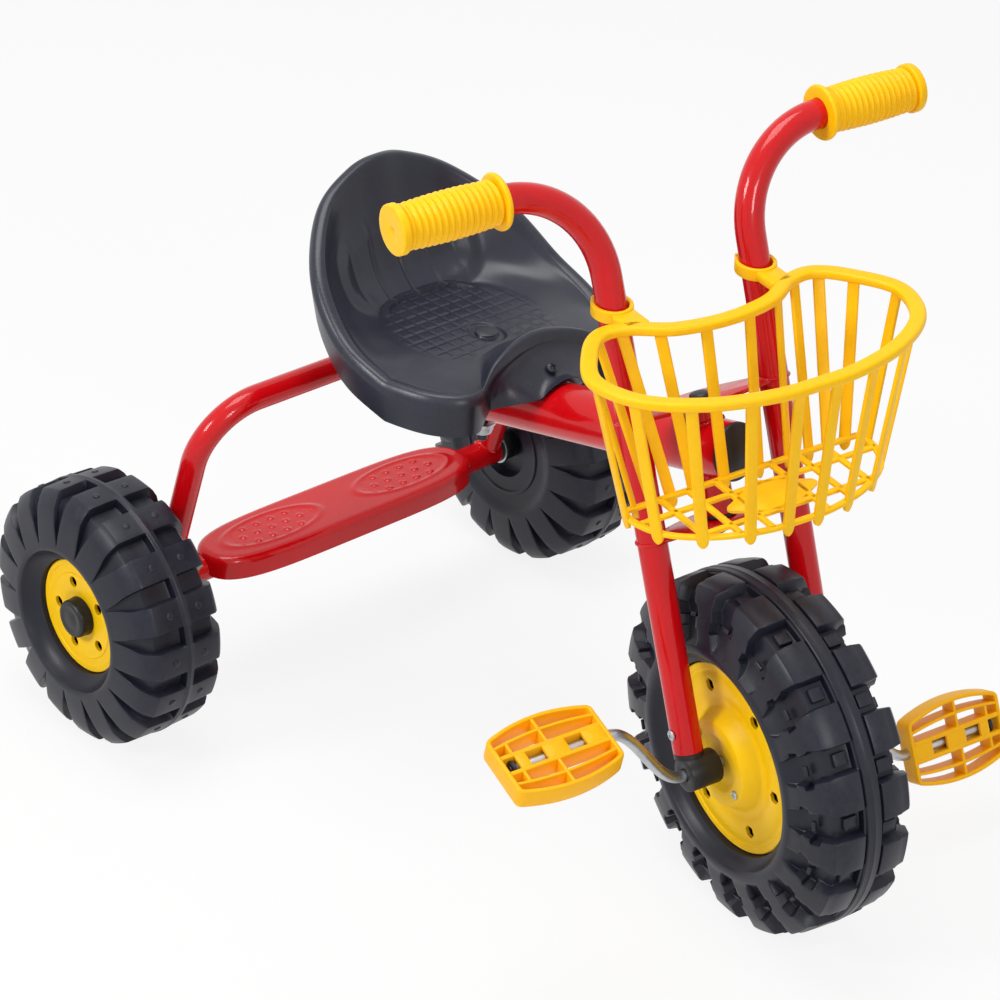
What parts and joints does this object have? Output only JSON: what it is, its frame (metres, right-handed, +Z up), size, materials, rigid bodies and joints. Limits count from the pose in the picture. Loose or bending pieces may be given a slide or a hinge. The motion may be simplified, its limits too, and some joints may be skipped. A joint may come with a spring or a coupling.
{
  "type": "tricycle",
  "caption": "Child's steel-tube tricycle with bucket seat, slatted front basket and ribbed grips; the fork steers, and the wheels, crank and pedals turn.",
  "frame": {"origin": "middle of the footprint's bounding box, on the ground", "axes": "+Z up; the rider faces -Y and has +X on the left hand; the fork rests turned 12 degrees to the right"},
  "size_m": [0.516, 0.7026, 0.5536],
  "materials": {
    "red_paint": "gloss enamel",
    "dark_plastic": "satin, moulded",
    "black_plastic": "satin, moulded",
    "yellow_plastic": "semi-gloss, moulded",
    "amber_plastic": "semi-gloss, moulded",
    "zinc_steel": "bright zinc plate"
  },
  "bodies": {
    "frame": {"backbone": "red_paint", "backbone_front_cap": "black_plastic", "backbone_rear_cap": "black_plastic", "stay_left": "red_paint", "stay_right": "red_paint", "axle_tube": "red_paint", "axle_bush_left": "black_plastic", "axle_bush_right": "black_plastic", "rear_axle": "zinc_steel", "rear_washer_left": "zinc_steel", "rear_washer_right": "zinc_steel", "step_plate": "red_paint", "seat": "dark_plastic", "seat_saddle": "black_plastic", "seat_bolt": "zinc_steel", "seat_washer": "zinc_steel", "seat_nut": "zinc_steel", "seat_screw": "zinc_steel", "head_bush_upper": "black_plastic", "head_bush_lower": "black_plastic"},
    "fork": {"fork_tube_left": "red_paint", "fork_tube_right": "red_paint", "crown_plate_upper": "red_paint", "crown_plate_lower": "red_paint", "pivot_bolt": "black_plastic", "pivot_nut": "black_plastic", "grip_left": "yellow_plastic", "grip_right": "yellow_plastic", "bearing_left": "black_plastic", "bearing_right": "black_plastic", "bearing_screw_left": "zinc_steel", "bearing_screw_right": "zinc_steel", "basket": "yellow_plastic"},
    "front_wheel": {"front_tyre": "dark_plastic", "front_disc_left": "yellow_plastic", "front_disc_right": "yellow_plastic", "disc_screw_left_1": "zinc_steel", "disc_screw_left_2": "zinc_steel", "disc_screw_right_1": "zinc_steel", "disc_screw_right_2": "zinc_steel", "crank_rod": "zinc_steel", "pedal_cap_left": "black_plastic", "pedal_cap_right": "black_plastic"},
    "left_pedal": {"pedal_left": "amber_plastic"},
    "right_pedal": {"pedal_right": "amber_plastic"},
    "left_rear_wheel": {"rear_tyre_left": "dark_plastic", "rear_disc_left": "yellow_plastic", "hub_bush_left": "black_plastic", "hub_cap_left": "black_plastic"},
    "right_rear_wheel": {"rear_tyre_right": "dark_plastic", "rear_disc_right": "yellow_plastic", "hub_bush_right": "black_plastic", "hub_cap_right": "black_plastic"}
  },
  "joints": [
    {"name": "steering", "type": "hinge", "parent": "frame", "child": "fork", "pos_m": [0, -0.14169, 0.33295], "axis": [0, 0.2924, 0.9563], "range_deg": [-38, 62]},
    {"name": "front_wheel_spin", "type": "hinge", "parent": "fork", "child": "front_wheel", "pos_m": [-0.00318, -0.21935, 0.13012], "axis": [0.9781, -0.1988, 0.0608], "continuous": true},
    {"name": "left_pedal_spin", "type": "hinge", "parent": "front_wheel", "child": "left_pedal", "pos_m": [0.17735, -0.24358, 0.07417], "axis": [0.9781, -0.1988, 0.0608], "continuous": true},
    {"name": "right_pedal_spin", "type": "hinge", "parent": "front_wheel", "child": "right_pedal", "pos_m": [-0.18371, -0.19512, 0.18607], "axis": [0.9781, -0.1988, 0.0608], "continuous": true},
    {"name": "left_rear_wheel_spin", "type": "hinge", "parent": "frame", "child": "left_rear_wheel", "pos_m": [0.218, 0.24933, 0.102], "axis": [1, 0, 0], "continuous": true},
    {"name": "right_rear_wheel_spin", "type": "hinge", "parent": "frame", "child": "right_rear_wheel", "pos_m": [-0.218, 0.24933, 0.102], "axis": [1, 0, 0], "continuous": true}
  ]
}
